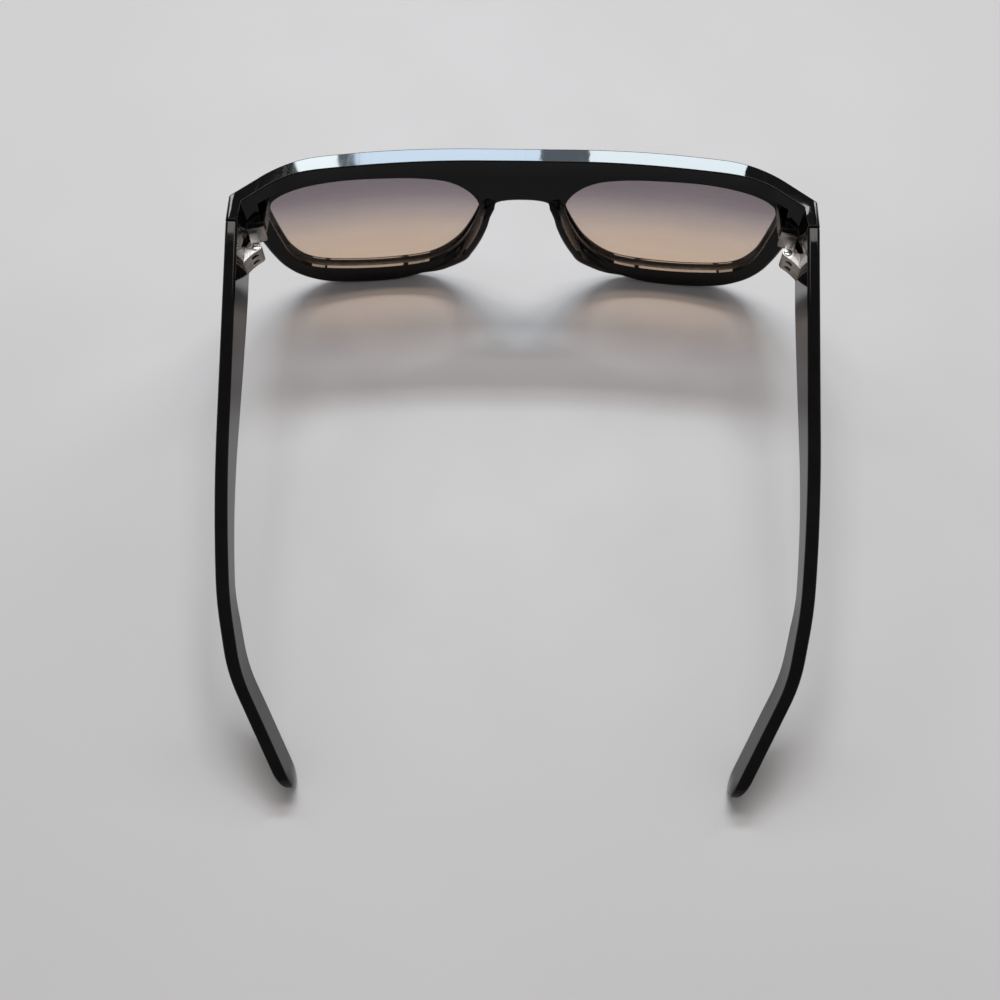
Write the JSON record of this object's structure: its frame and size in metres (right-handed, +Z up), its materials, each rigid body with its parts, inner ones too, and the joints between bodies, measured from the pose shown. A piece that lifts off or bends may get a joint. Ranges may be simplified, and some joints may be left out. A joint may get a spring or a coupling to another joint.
{
  "type": "oversized square sunglasses",
  "caption": "Flat-top acetate sunglasses with wide rounded-square gradient lenses, barrel hinges and folding temples, standing open.",
  "frame": {"origin": "centre of the footprint at the resting plane, with the temples open", "axes": "+X towards the wearer's left, +Y back along the temples, +Z up; the front faces -Y"},
  "size_m": [0.1464, 0.1539, 0.0501],
  "materials": {
    "acetate": "polished black cellulose acetate",
    "lens": "clear tinted lens, mauve grey at the top fading to pale amber at the bottom",
    "hinge_metal": "polished nickel",
    "core_steel": "plain drawn steel"
  },
  "bodies": {
    "front": {"front_frame": "acetate", "lens_left": "lens", "lens_right": "lens", "nose_pad_left": "acetate", "nose_pad_right": "acetate", "front_hinge_left": "hinge_metal", "front_hinge_right": "hinge_metal"},
    "temple_arm_left": {"temple_left": "acetate", "core_wire_left": "core_steel", "temple_hinge_left": "hinge_metal", "hinge_screw_left": "hinge_metal"},
    "temple_arm_right": {"temple_right": "acetate", "core_wire_right": "core_steel", "temple_hinge_right": "hinge_metal", "hinge_screw_right": "hinge_metal"}
  },
  "joints": [
    {"name": "fold_left", "type": "hinge", "parent": "front", "child": "temple_arm_left", "pos_m": [0.0673, -0.052, 0.03687], "axis": [0, 0.0327, 0.9995], "range_deg": [0, 88]},
    {"name": "fold_right", "type": "hinge", "parent": "front", "child": "temple_arm_right", "pos_m": [-0.0673, -0.052, 0.03687], "axis": [0, -0.0327, -0.9995], "range_deg": [0, 83]}
  ]
}
